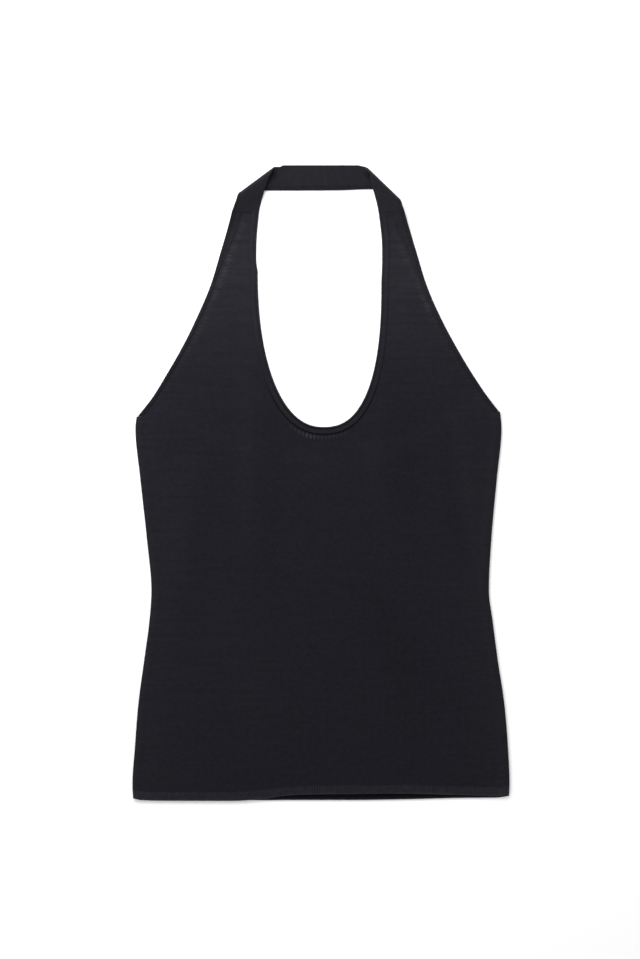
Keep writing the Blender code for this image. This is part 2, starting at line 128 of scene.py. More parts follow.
NECK_EDGE = (
    Reach(552.0, 66.1, 62.3),
    Reach(572.0, 65.7, 61.9),
    Reach(590.0, 64.2, 60.0),
    Reach(605.0, 62.3, 57.8),
    Reach(623.0, 57.2, 53.0),
    Reach(631.0, 54.6, 50.4),
)
HEM = (
    Hem(-192.0, 2.6, 4.0),
    Hem(-182.0, 0.7, 2.2),
    Hem(-150.0, 0.1, 1.4),
    Hem(-92.0, 0.0, 1.0),
    Hem(-57.0, 2.2, 0.5),
    Hem(-34.0, 5.4, 0.8),
    Hem(30.0, 6.9, 0.8),
    Hem(80.0, 7.3, 1.4),
    Hem(142.0, 5.9, 2.9),
    Hem(180.0, 5.0, 3.3),
    Hem(192.0, 6.8, 5.0),
)
BACK_LOWEST, BACK_SCOOP_POWER = 322.0, 2.2
STRAP_START, STRAP_SEAM_TOP = 530.0, 600.0
STRAP_BAND = (
    Reach(STRAP_START, 3.5, 3.5),
    Reach(548.0, 5.0, 7.0),
    Reach(566.0, 7.5, 9.0),
    Reach(584.0, 9.5, 11.5),
)
CREASE = {"left": Crease(83.8, 619.5, 48.0, 646.0), "right": Crease(80.4, 613.4, 47.4, 645.2)}
BRIDGE_FOOT = ((-57.0, 622.1), (-20.0, 622.2), (20.0, 622.5), (53.0, 623.6))
BRIDGE_TOP = ((-38.0, LENGTH), (-28.0, LENGTH), (26.0, LENGTH), (38.0, LENGTH))

SIGN = {"left": -1.0, "right": 1.0}
LAYER_LIFT = WALL + LAYER_GAP
FULL_HEIGHT = LAYER_LIFT + WALL
ROLL = (FULL_HEIGHT - SIDE_GAP) / 2
LIFT_MARGIN, LIFT_FALL = 16.0, 26.0
print(f"front lies {LAYER_LIFT:.1f} mm up on the back, and each side seam turns at {ROLL:.2f} mm")

# %% [markdown]
# ## Fineness
#
# Soft troughs in a cloth are centimetres wide, so a grid of about 3 mm holds them. The hem's
# cords are 2.5 mm apart and need several points each, so that piece is finer across.

# %% How finely each piece is drawn
FINE = 900
BODY_ROWS, BIB_ROWS = 100, 130
ROLL_COLUMNS, RISE_COLUMNS, PLAIN_COLUMNS = 5, 5, 56
FOOT_POWER, HEAD_POWER = 6, 3
RIB_PITCH, RIB_DEPTH, POINTS_PER_RIB, RIB_ROWS = 2.5, 0.38, 6, 8
BAND_ROWS, LEG_ROWS, FOLD_ROWS, BRIDGE_ROWS = 36, 24, 18, 52
BAND_COLUMNS, INSIDE_COLUMNS = 18, 26
CENTRE_ROWS = 74  # rows that end on the centre line, below the neck
SMOOTH_UNDER = 50.0  # degrees between two faces that are still shaded as one

# %% [markdown]
# ## Curves
#
# These helpers turn a table into a smooth line, share points out along it, and move it
# sideways. Bezier curves would do as well, but arrays are easier to cut, offset and join.

# %% Curve helpers
def smooth(keys, values, at):
    """A cubic through a table's values that never swings past them."""
    keys, values, at = (np.asarray(each, float) for each in (keys, values, at))
    slope = np.diff(values) / np.diff(keys)
    tangent = np.concatenate([slope[:1], (slope[1:] + slope[:-1]) / 2, slope[-1:]])
    tangent[1:-1][slope[1:] * slope[:-1] <= 0] = 0.0
    most = 3 * np.minimum(np.abs(slope[1:]), np.abs(slope[:-1]))
    tangent[1:-1] = np.clip(tangent[1:-1], -most, most)
    i = np.clip(np.searchsorted(keys, at) - 1, 0, len(slope) - 1)
    span = keys[i + 1] - keys[i]
    t = (at - keys[i]) / span
    rise = 3 * t**2 - 2 * t**3
    return (
        values[i] * (1 - rise)
        + values[i + 1] * rise
        + span * (tangent[i] * t * (1 - t) ** 2 - tangent[i + 1] * t**2 * (1 - t))
    )


def reach(table, side, heights):
    return smooth([row.height for row in table], [getattr(row, side) for row in table], heights)


def edge_line(table, side, heights):
    return np.column_stack([SIGN[side] * reach(table, side, heights), heights])


def hem_height(layer, across):
    return smooth([row.across for row in HEM], [getattr(row, layer) for row in HEM], across)


def smoothstep(t):
    t = np.clip(t, 0.0, 1.0)
    return t * t * (3 - 2 * t)


def along(path):
    return np.concatenate([[0.0], np.cumsum(np.linalg.norm(np.diff(path, axis=0), axis=1))])


def at_shares(path, shares):
    """The points at these shares of a path's length."""
    length = along(path)
    return np.column_stack([np.interp(np.asarray(shares) * length[-1], length, c) for c in path.T])


def shared_out(path, count):
    return at_shares(path, np.linspace(0.0, 1.0, count))


def through(points):
    """A smooth path through a few points."""
    points = np.asarray(points, float)
    length = along(points)
    fine = np.linspace(0.0, length[-1], FINE)
    return np.column_stack([smooth(length, c, fine) for c in points.T])


def moved_right(path, distance):
    """The path moved to the right of its direction of travel."""
    travel = np.gradient(path, along(path), axis=0)
    travel /= np.linalg.norm(travel, axis=1)[:, None]
    return path + distance * np.column_stack([travel[:, 1], -travel[:, 0]])


def between(path, low, high, count=FINE):
    """The stretch of a rising path between two heights."""
    heights = np.linspace(low, high, count)
    return np.column_stack([np.interp(heights, path[:, 1], path[:, 0]), heights])


# %% [markdown]
# ## The outline's edges
#
# A flat strap that folds to a new direction turns over on a slanting crease. Its cloth wraps a
# small cylinder there, so it also slips along the crease a little, as a helix does.

# %% The crease and the side edges
def fold_of(side):
    """The crease's two ends, its direction, the way out over it and the slip along it."""
    crease = CREASE[side]
    outer = np.array([SIGN[side] * crease.outer_reach, crease.outer_height])
    inner = np.array([SIGN[side] * crease.inner_reach, crease.inner_height])
    run = (inner - outer) / np.linalg.norm(inner - outer)
    out = np.array([-run[1], run[0]]) * -SIGN[side]
    lean = math.radians(STRAP_LEAN)
    leg = np.array([-SIGN[side] * math.cos(lean), math.sin(lean)])
    slip = FOLD_RADIUS * math.pi / math.tan(math.acos(float(leg @ run)))
    return outer, inner, run, out, slip


def leg_top(side):
    """The two ends of the strap's last straight row before its crease."""
    outer, inner, run, out, slip = fold_of(side)
    back = run * slip / 2 + out * (FOLD_RADIUS + STRAP_WALL / 2)
    return outer - back, inner - back


def armhole_line(side):
    """The outer edge from below the underarm up to the strap's crease."""
    heights = np.linspace(ARMHOLE[0].height - UNDERARM_RUN_IN, ARMHOLE[-1].height, FINE)
    return np.vstack([edge_line(ARMHOLE, side, heights), leg_top(side)[0]])


for name in SIGN:
    print(f"the {name} crease slips {fold_of(name)[-1]:.2f} mm along itself")


# %% The neck and the armholes, moved into the cloth
def neck_half(side):
    """The neck's edge from its lowest point up to the strap's crease."""
    scoop = NECK_SCOOP[side]
    turn = np.linspace(0.0, math.pi / 2, FINE)
    across = scoop.half_width * np.sin(turn) ** (2 / scoop.power)
    up = scoop.rise * (1 - np.cos(turn) ** (2 / scoop.power))
    arc = np.column_stack([NECK_CENTRE + SIGN[side] * across, NECK_LOWEST + up])
    edge = [(SIGN[side] * getattr(row, side), row.height) for row in NECK_EDGE]
    upper = through([arc[-1], *edge, leg_top(side)[1]])
    return np.vstack([arc, upper[1:]])


def neck_halves(distance, top):
    """Both halves of the neck's edge, moved into the cloth, from the centre to a height."""
    line = np.vstack([neck_half("left")[::-1], neck_half("right")[1:]])
    line = moved_right(shared_out(line, 2 * FINE + 1), distance)
    lowest = int(np.argmin(line[:, 1]))
    found = {}
    for side, half in {"left": line[lowest::-1], "right": line[lowest:]}.items():
        over = int(np.argmax(half[:, 1] > top))
        share = (top - half[over - 1, 1]) / (half[over, 1] - half[over - 1, 1])
        end = half[over - 1] + share * (half[over] - half[over - 1])
        found[side] = np.vstack([half[:over], end])
    return found


def armhole_inset(side, distance, low, high):
    """The armhole's edge moved into the cloth, between two heights."""
    return between(moved_right(armhole_line(side), -SIGN[side] * distance), low, high)


def band_border(side):
    """The armhole's edge and the band's inner border at each row of the band's table."""
    widths = [(row.height, getattr(row, side)) for row in STRAP_BAND]
    widths.append((STRAP_SEAM_TOP, widths[-1][1]))
    top = ARMHOLE[-1].height
    edge = np.array([armhole_inset(side, 0.0, height, top)[0] for height, _ in widths])
    return edge, edge - [(SIGN[side] * width, 0.0) for _, width in widths]


def strap_seam(side, inner_end):
    """The strap's lower end, from the armhole's edge to the neck's edge."""
    edge, border = band_border(side)
    return np.array([edge[0], *border, (border[-1] + inner_end) / 2, inner_end])


print(f"the neck opening is {STRAP_SEAM_TOP - NECK_LOWEST:.0f} mm deep up to the strap")


# %% The back's top edge, and how high the front lies
def back_top(across):
    """Height of the back's top edge, which dips from underarm to underarm."""
    across = np.asarray(across, float)
    left, right = (edge_line(SIDE_SEAM, side, [UNDERARM[side]])[0] for side in SIGN)
    end_x, end_y = (np.where(across < 0, *ends) for ends in zip(left, right))
    return BACK_LOWEST + (end_y - BACK_LOWEST) * np.abs(across / end_x) ** BACK_SCOOP_POWER


def crease_rise(across, height):
    """How high the strap, and the tip of the front beside it, are held up near a crease."""
    rise = np.zeros(np.shape(across))
    for side in SIGN:
        outer, inner = leg_top(side)
        run = (inner - outer) / np.linalg.norm(inner - outer)
        away = np.abs(run[0] * (height - outer[1]) - run[1] * (across - outer[0]))
        near = 2 * FOLD_RADIUS * (1 - smoothstep(away / STRAP_FALL))
        rise = np.where(across * SIGN[side] > 0, near, rise)
    return rise


def front_lift(across, height):
    """How high the underside of the front lies: on the back, then down on the surface."""
    beyond = height - back_top(across)
    rest = LAYER_LIFT * (1 - smoothstep((beyond - LIFT_MARGIN) / LIFT_FALL))
    return rest + crease_rise(across, height)


print(f"the back's top edge dips to {back_top(NECK_CENTRE):.0f} mm")

# %% [markdown]
# ## From plan to shell
#
# Half a panel is a plan of rows that run from its side seam or armhole to the centre or the
# neck. The plan bends to the hem's curve at its foot and to the strap's seam at its head. Each
# point gets a height for the upper skin and one for the under skin, and the side edge turns
# down through a quarter circle to meet the other layer.

# %% Plans
def near_columns():
    """Distances from a side edge: the turn, the rise over the turnings, and their ends."""
    turned = np.linspace(0.0, ROLL, ROLL_COLUMNS + 1)
    return np.concatenate([turned, np.linspace(ROLL, SEAM_RISE_WIDTH, RISE_COLUMNS + 1)[1:]])


INNER_COLUMNS = np.array([3.6, 2.6, 1.8, 1.2, 0.6, 0.0])  # distances from the neck's seam


def half_plan(outer, inner, foot, head):
    """Rows of points from edge to edge, bent to the foot and head curves."""
    rows = []
    for i, (start, end) in enumerate(zip(outer, inner)):
        width = np.linalg.norm(end - start)
        near, last = near_columns() / width, 1 - INNER_COLUMNS / width
        plain = np.linspace(near[-1], last[0], PLAIN_COLUMNS + 1)[1:-1]
        shares = np.concatenate([near, plain, last])
        row = start + shares[:, None] * (end - start)
        v = i / (len(outer) - 1)
        for curve, weight, k in ((foot, (1 - v) ** FOOT_POWER, 0), (head, v**HEAD_POWER, -1)):
            straight = outer[k] + shares[:, None] * (inner[k] - outer[k])
            row = row + weight * (at_shares(curve, shares) - straight)
        rows.append(row)
    return np.array(rows)


print(f"{len(near_columns())} columns follow each side edge")


# %% Walls
def facing_right(side, *grids):
    """The grids, turned over on the right so that their columns always run to the right."""
    return [grid[:, ::-1] if side == "right" else grid for grid in grids]


def half_wall(side, plan, rolled_rows, layer, soft=0.0):
    """(upper grid, under grid) of half a panel, whose lower rows turn down at its side seam."""
    turn = np.radians(np.linspace(0.0, 90.0, ROLL_COLUMNS + 1))
    flat = np.linspace(0.0, ROLL, ROLL_COLUMNS + 1)
    rolled = (np.arange(len(plan)) < rolled_rows)[:, None]
    inward = plan[:, -1:] - plan[:, :1]
    inward = inward / np.linalg.norm(inward, axis=2)[..., None]
    from_edge = np.linalg.norm(plan - plan[:, :1], axis=2)
    rise = np.sin(np.pi * np.clip(from_edge / SEAM_RISE_WIDTH, 0.0, 1.0)) ** 2
    walls = []
    for radius, lift in ((ROLL, WALL), (ROLL - WALL, 0.0)):
        z = np.full(plan.shape[:2], LAYER_LIFT + lift)
        if layer == "front":
            z = front_lift(plan[..., 0], plan[..., 1]) + lift + rolled * SEAM_RISE * rise
            z = (z + soft).clip(0.0)  # nothing sinks below the surface that the top lies on
        dropped = (FULL_HEIGHT + SIDE_GAP) / 2 + radius * np.sin(turn) - LAYER_LIFT - lift
        z[:, : len(turn)] += rolled * dropped
        flat_plan = plan.copy()
        moved_in = rolled * (ROLL - radius * np.cos(turn) - flat)
        flat_plan[:, : len(turn)] += moved_in[..., None] * inward
        walls.append(np.dstack([flat_plan, z if layer == "front" else FULL_HEIGHT - z]))
    return facing_right(side, *(walls if layer == "front" else walls[::-1]))


ROW_CROWDING = 1.35  # how much closer together a panel's rows lie towards the underarm


def crowded_up(low, high, count):
    """Heights that lie closer together towards the top."""
    return low + (1 - (1 - np.linspace(0.0, 1.0, count + 1)) ** ROW_CROWDING) * (high - low)


def body_edges(side, layer, top, centre_top, centre_rows):
    """The outer and inner ends of a panel's rows, and the curve of its foot."""
    above = RIB_HEIGHT - SEAM_LAP
    foot_x = SIGN[side] * reach(SIDE_SEAM, side, above)
    across = np.linspace(foot_x, NECK_CENTRE, FINE)
    foot = np.column_stack([across, hem_height(layer, across) + above])
    heights = crowded_up(foot[0, 1], top, BODY_ROWS)
    outer = edge_line(SIDE_SEAM, side, heights)
    foot[:, 0] += (outer[0, 0] - foot_x) * np.linspace(1.0, 0.0, FINE)
    heights = crowded_up(foot[-1, 1], centre_top, centre_rows)
    inner = np.column_stack([np.full(centre_rows + 1, NECK_CENTRE), heights])
    return outer, inner, foot


print(f"the two layers are {FULL_HEIGHT:.1f} mm high together")

# %% [markdown]
# ## One closed mesh for each piece
#
# The under skin is the upper one with its faces turned round, and a rim joins them wherever an
# edge has a face on one side only. Each point also keeps its place along and across the knit in
# a UV map called grain, in millimetres, so that one knit pattern can follow a level panel, a
# curved binding and a folded strap.

# %% Points and faces
def world(points):
    """(x, height, z) in millimetres to the frame, in metres."""
    moved = np.array(points, float)
    moved[..., 1] += BASE
    return moved * MM


def grid_faces(index):
    """The four corners of each cell of a grid of point numbers."""
    corners = (index[:-1, :-1], index[:-1, 1:], index[1:, 1:], index[1:, :-1])
    return np.stack(corners, axis=-1).reshape(-1, 4)


def add_piece(name, points, faces, material):
    mesh = bpy.data.meshes.new(name)
    mesh.from_pydata(world(points).tolist(), [], faces)
    mesh.materials.append(material)
    mesh.shade_smooth()
    mesh.set_sharp_from_angle(angle=math.radians(SMOOTH_UNDER))
    mesh.validate()
    piece = bpy.data.objects.new(name, mesh)
    bpy.context.scene.collection.objects.link(piece)
    return piece


def per_point(piece, name, values):
    """Keeps one number for each point, for a material to read."""
    layer = piece.data.attributes.new(name, "FLOAT", "POINT")
    layer.data.foreach_set("value", np.asarray(values, np.float32))


def grain_map(piece, grain):
    """A UV map, in millimetres, from each point's place along and across the knit."""
    corners = np.empty(len(piece.data.loops), np.int32)
    piece.data.loops.foreach_get("vertex_index", corners)
    layer = piece.data.uv_layers.new(name="grain")
    layer.uv.foreach_set("vector", np.asarray(grain, np.float32)[corners].ravel())


print(f"faces under {SMOOTH_UNDER:.0f} degrees apart are shaded as one")


# %% Shell builder
def shell(name, patches, material):
    """A closed shell from patches of (upper grid, under grid, grain grid, painted light and shade
    grid).
    """
    upper, under, grain, light = (
        np.concatenate([np.asarray(patch[k], float).reshape(-1, width) for patch in patches])
        for k, width in enumerate((3, 3, 2, 1))
    )
    _, first, number = np.unique(
        np.round(upper, 3), axis=0, return_index=True, return_inverse=True
    )
    number, faces, start = number.reshape(-1), [], 0
    for patch in patches:
        rows, columns = patch[0].shape[:2]
        index = number[start : start + rows * columns].reshape(rows, columns)
        faces.append(grid_faces(index))
        start += rows * columns
    faces = np.concatenate(faces)
    count = len(first)
    edges = np.concatenate([faces[:, [k, (k + 1) % 4]] for k in range(4)])
    known = {(a, b) for a, b in edges.tolist()}
    rims = sorted((a, b) for a, b in known if (b, a) not in known)
    solid = faces.tolist() + (faces[:, ::-1] + count).tolist()
    solid += [[b, a, a + count, b + count] for a, b in rims]
    piece = add_piece(name, np.concatenate([upper[first], under[first]]), solid, material)
    grain_map(piece, np.tile(grain[first], (2, 1)))
    per_point(piece, "edge_light", np.tile(light[first, 0], 2))
    print(f"{name}: {len(piece.data.vertices)} points, {len(piece.data.polygons)} faces")
    return piece


def distance_to(path, points):
    """How far each point of a grid is from the nearest point of a finely drawn path."""
    flat = points.reshape(-1, 2)
    least = np.full(len(flat), np.inf)
    for place in path:
        least = np.minimum(least, np.hypot(flat[:, 0] - place[0], flat[:, 1] - place[1]))
    return least.reshape(points.shape[:2])


# %% [markdown]
# ## Colours and the knit
#
# The yarn is a spun viscose, dyed black. Black cloth is never quite black: the spun fibres
# scatter a little light, and this dye leaves a trace of violet.

# %% Colours and nodes
def linear(code):
    """An sRGB hex colour as linear RGBA."""
    parts = [int(code[i : i + 2], 16) / 255 for i in (1, 3, 5)]
    return (*[c / 12.92 if c <= 0.04045 else ((c + 0.055) / 1.055) ** 2.4 for c in parts], 1.0)


def add_node(material, kind, inputs=None, **settings):
    """Adds a node with its settings, and sets its inputs or links them to sockets or nodes."""
    tree = material.node_tree
    node = tree.nodes.new("ShaderNode" + kind)
    for name, value in settings.items():
        setattr(node, name, value)
    for name, value in (inputs or {}).items():
        if isinstance(value, bpy.types.Node):
            value = value.outputs[0]
        if isinstance(value, bpy.types.NodeSocket):
            tree.links.new(value, node.inputs[name])
        else:
            node.inputs[name].default_value = value
    return node


PAINTED_LIGHT_GREY, DARKEST = "#1a1a1b", 0.12  # grey that painted highlight adds, and the least that painted shade leaves
print(f"the nap's grey is {linear(PAINTED_LIGHT_GREY)[0]:.4f} in linear colour")

# %% The knit
LEG_LEAN = 1.1  # how far a stitch's legs lean over, in courses for each wale
LOOP_SWING, LOOP_MIDDLE = 0.3, 0.7  # a loop is highest at its top and lowest where it is caught
GAP_SHADE, LOOP_SHADE = 0.86, 1.08  # painted shade between the stitches and painted highlight on top of them
MOTTLE_SCALE, FUZZ_SCALE, FUZZ_SHARE = 260.0, 900.0, 0.35  # uneven dye, and loose fibres
STREAK_LENGTH, STREAK_HEIGHT = 55.0, 4.4  # millimetres of uneven yarn, along and across courses
STREAK_SHARE, HIGHLIGHT_SHARE = 0.045, 0.28  # how uneven that makes the colour, and how patchy the painted highlight is


def knit_height(material, wale, course):
    """A node with the height, 0 to 1, of rows of V-shaped stitches of that size."""
    add = partial(add_node, material)
    place = add("SeparateXYZ", {0: add("UVMap", uv_map="grain")}).outputs
    wales = add("Math", {0: place[0], 1: wale}, operation="DIVIDE")
    across = add("Math", {0: wales, 1: 0.5}, operation="PINGPONG")
    courses = add("Math", {0: place[1], 1: course}, operation="DIVIDE")
    up = add("Math", {0: across, 1: LEG_LEAN, 2: courses}, operation="MULTIPLY_ADD")
    waves = []
    for part, wave in ((across, "SINE"), (up, "COSINE")):
        angle = add("Math", {0: part, 1: 2 * math.pi}, operation="MULTIPLY")
        waves.append(add("Math", {0: angle}, operation=wave))
    loop = {0: waves[1], 1: LOOP_SWING, 2: LOOP_MIDDLE}
    loop = add("Math", loop, operation="MULTIPLY_ADD")
    return add("Math", {0: waves[0], 1: loop}, operation="MULTIPLY")


def knit_material(name, dark, light, wale, course, depth, roughness, sheen):
    """A knit of one yarn: mottled colour, with painted shade between its stitches and painted
    light.
    """
    material = bpy.data.materials.new(name)
    material.use_nodes = True
    shader = material.node_tree.nodes["Principled BSDF"]
    add = partial(add_node, material)
    place = add("TexCoord").outputs["Object"]
    mottle = add("TexNoise", {"Vector": place, "Scale": MOTTLE_SCALE, "Detail": 4.0})
    mottle = add("MapRange", {"Value": mottle, "From Min": 0.35, "From Max": 0.65})
    yarn = add("Mix", {0: mottle, 6: linear(dark), 7: linear(light)}, data_type="RGBA")
    stitches = knit_height(material, wale, course)
    shade = add("MapRange", {"Value": stitches, "To Min": GAP_SHADE, "To Max": LOOP_SHADE})
    drawn_out = {0: add("UVMap", uv_map="grain"), 1: (1 / STREAK_LENGTH, 1 / STREAK_HEIGHT, 1.0)}
    drawn_out = add("VectorMath", drawn_out, operation="MULTIPLY")
    patchy = add("TexNoise", {"Vector": drawn_out, "Scale": 1.0, "Detail": 2.0})
    streak, painted_highlight = (
        add("MapRange", {"Value": patchy, "From Min": 0.3, "From Max": 0.7,
                         "To Min": 1 - share, "To Max": 1 + share})
        for share in (STREAK_SHARE, HIGHLIGHT_SHARE)
    )
    # painted light and shade: each point's edge_light darkens the yarn below 0 and adds grey above
    # 0
    edge = add("Attribute", attribute_name="edge_light").outputs["Fac"]
    darker, lighter = (
        add("Math", {0: edge, 1: 0.0}, operation=kept) for kept in ("MINIMUM", "MAXIMUM")
    )
    shade = add("Math", {0: shade, 1: streak, 2: darker}, operation="MULTIPLY_ADD")
    shade = add("Math", {0: shade, 1: DARKEST}, operation="MAXIMUM")
    shaded = add("VectorMath", {0: yarn.outputs[2], "Scale": shade}, operation="SCALE")
    lighter = add("Math", {0: lighter, 1: painted_highlight}, operation="MULTIPLY")
    grey = add("VectorMath", {0: linear(PAINTED_LIGHT_GREY)[:3], "Scale": lighter}, operation="SCALE")
    colour = add("VectorMath", {0: shaded, 1: grey}, operation="ADD")
    fuzz = add("TexNoise", {"Vector": place, "Scale": FUZZ_SCALE, "Detail": 2.0})
    height = add("Math", {0: fuzz, 1: FUZZ_SHARE, 2: stitches}, operation="MULTIPLY_ADD")
    bump = add("Bump", {"Height": height, "Distance": depth * MM, "Strength": 1.0})
    for result, socket in ((colour, "Base Color"), (bump, "Normal")):
        material.node_tree.links.new(result.outputs[0], shader.inputs[socket])
    for socket, value in {
        "Roughness": roughness, "IOR": 1.47, "Specular IOR Level": 0.05, "Sheen Weight": sheen,
        "Sheen Roughness": 0.45, "Sheen Tint": linear("#a9a4cc"),
    }.items():
        shader.inputs[socket].default_value = value
    return material


# %% [markdown]
# ## The five finishes
#
# A fine jersey has wales about 1.2 mm and courses about 0.9 mm apart, which is finer than a
# picture of the whole top can show, so both are drawn about twice as coarse. The strap is
# knitted tighter and looks smoother and darker. The binding is the jersey folded lengthways.
# The transferred stitches are open loops, whose yarn lies loose and catches light; their yarn
# is painted a little lighter as a painted highlight.

# %% Materials
Knit = namedtuple("Knit", "name dark light wale course depth roughness sheen")
KNITS = (
    Knit("fine viscose jersey", "#18171c", "#1b1a20", 2.3, 1.9, 0.14, 0.85, 0.03),
    Knit("tight strap jersey", "#18171b", "#1b1a1f", 1.9, 1.6, 0.10, 0.80, 0.03),
    Knit("one by one rib knit", "#1f1e24", "#242329", RIB_PITCH, 1.9, 0.14, 0.85, 0.03),
    Knit("folded jersey binding", "#18171c", "#1b1a20", 1.9, 1.8, 0.12, 0.82, 0.03),
    # painted highlight: the moved stitches' yarn is painted a little lighter than the jersey
    Knit("transferred stitch yarn", "#1a191d", "#1f1e23", 1.2, 1.0, 0.08, 0.70, 0.06),
)
jersey, strap_jersey, rib_knit, binding, open_loops = (knit_material(*row) for row in KNITS)
print("materials:", sorted(material.name for material in bpy.data.materials))

# %% [markdown]
# ## Soft relief
#
# A fine jersey that is smoothed out by hand has no sharp creases. What stays are a few long
# swells and hollows, less than a millimetre high, such as those that run down from each side of
# the neck. Each is a row of the table: a line from end to end, its width and its rise.

# %% Soft swells and hollows
Swell = namedtuple("Swell", "x0 h0 x1 h1 width rise")
SWELLS = (
    Swell(-77.0, 470.0, -73.0, 244.0, 9.0, 0.55),
    Swell(-52.0, 400.0, -49.0, 180.0, 16.0, -0.35),
    Swell(50.0, 425.0, 56.0, 290.0, 10.0, 0.45),
    Swell(84.0, 420.0, 92.0, 250.0, 20.0, -0.5),
    Swell(139.0, 392.0, 160.0, 245.0, 9.0, 0.6),
    Swell(126.0, 375.0, 148.0, 230.0, 12.0, -0.45),
    Swell(-128.0, 380.0, -150.0, 215.0, 14.0, 0.4),
    Swell(-110.0, 350.0, -140.0, 150.0, 18.0, -0.35),
    Swell(-20.0, 345.0, 8.0, 330.0, 14.0, 0.35),
    Swell(30.0, 230.0, 118.0, 96.0, 26.0, -0.5),
    Swell(-96.0, 190.0, -58.0, 60.0, 24.0, 0.45),
    Swell(96.0, 560.0, 78.0, 470.0, 8.0, 0.3),
    Swell(-98.0, 545.0, -84.0, 460.0, 8.0, -0.3),
)


def relief(plan):
    """The height that the swells add at each point of a plan."""
    total = np.zeros(plan.shape[:2])
    for row in SWELLS:
        start, end = np.array([row.x0, row.h0]), np.array([row.x1, row.h1])
        line = end - start
        share = np.clip(((plan - start) @ line) / (line @ line), 0.0, 1.0)
        away = np.linalg.norm(plan - start - share[..., None] * line, axis=2)
        fade = np.sin(np.pi * (0.1 + 0.8 * share))  # strongest halfway along
        total += row.rise * fade * np.exp(-((away / row.width) ** 2))
    return total


print(f"{len(SWELLS)} swells and hollows, {max(abs(row.rise) for row in SWELLS)} mm at most")

# %% [markdown]
# ## The front
#
# The stitches of each seam pull the front down a little, and painted shade along the sunk
# cloth draws the dark line round the neckline's binding. Near its side edges the cloth is
# painted lighter, a painted highlight for the light that the turned edges catch.

# %% Light and dark places on the front
TopLight = namedtuple("TopLight", "height light")  # painted light: the cloth is painted lighter up the bib, towards the light beyond the neck
TOP_LIGHT = (
    TopLight(385.0, 0.0),
    TopLight(440.0, 0.12),
    TopLight(500.0, 0.36),
    TopLight(548.0, 0.55),
    TopLight(600.0, 0.25),
)


def painted_top_light(height):
    """Painted light: how much lighter the cloth is painted at a height, towards the light beyond
    the neck.
    """
    return np.interp(height, [row.height for row in TOP_LIGHT], [row.light for row in TOP_LIGHT])


Glow = namedtuple("Glow", "height left right")  # painted highlight: how light the marks are painted along each armhole
GLOW = (
    Glow(404.0, 0.0, 0.0),
    Glow(440.0, 0.08, 0.05),
    Glow(465.0, 0.25, 0.15),
    Glow(498.0, 0.5, 0.25),
    Glow(509.0, 0.45, 1.0),
    Glow(519.0, 0.6, 0.3),
    Glow(532.0, 1.1, 0.3),
    Glow(550.0, 0.9, 0.35),
    Glow(588.0, 0.4, 0.15),
)
MARK_PITCH, MARK_INSET, BAND_INSET = 4.1, 6.2, 5.2  # from the armhole, and from the band


def marks_line(side):
    """The places of the moved stitches along an armhole and the strap's band."""
    line = armhole_inset(side, 0.0, GLOW[0].height, GLOW[-1].height)
    line = shared_out(line, int(along(line)[-1] / MARK_PITCH))
    band = reach(STRAP_BAND, side, line[:, 1].clip(STRAP_START, STRAP_BAND[-1].height))
    inset = np.maximum(MARK_INSET, band + BAND_INSET)
    return line - np.column_stack([SIGN[side] * inset, 0 * inset])


for name in SIGN:
    print(f"{len(marks_line(name))} moved stitches along the {name} armhole")

# %% Front panel
SINK, SINK_WIDTH = 0.6, 2.8
NECK_SINK_LOW, NECK_SINK_FADE = 395.0, 50.0  # the neckline's seam is deepest at its foot
ALONG_NECK, ARMHOLE_SINK, HEAD_SINK = 0.07, 0.25, 0.15  # shares of the sink elsewhere
# painted highlight near the side seams: how much, and how far in it fades
EDGE_LIGHT, EDGE_LIGHT_WIDTH = 0.26, 30.0
CREST_LIGHT = 0.16  # painted highlight on the swells' crests, for each millimetre of relief
NECK_SHADE, SEAM_SHADE = 0.75, 0.3  # painted shade at the bottom of each seam
MARKS_LIGHT, MARKS_WIDTH = 1.0, 3.4  # painted highlight along the moved stitches: how much, and how wide


def near_foot(height, least):
    """1 at the neckline's foot, and the least further up."""
    return least + (1 - least) * (1 - smoothstep((height - NECK_SINK_LOW) / NECK_SINK_FADE))


def painted_side_light(side, plan):
    """Painted highlight: how much lighter the cloth is painted near its side seam."""
    side_edge = edge_line(SIDE_SEAM, side, np.linspace(0.0, UNDERARM[side], FINE // 3))
    return EDGE_LIGHT * np.exp(-distance_to(side_edge, plan) / EDGE_LIGHT_WIDTH)


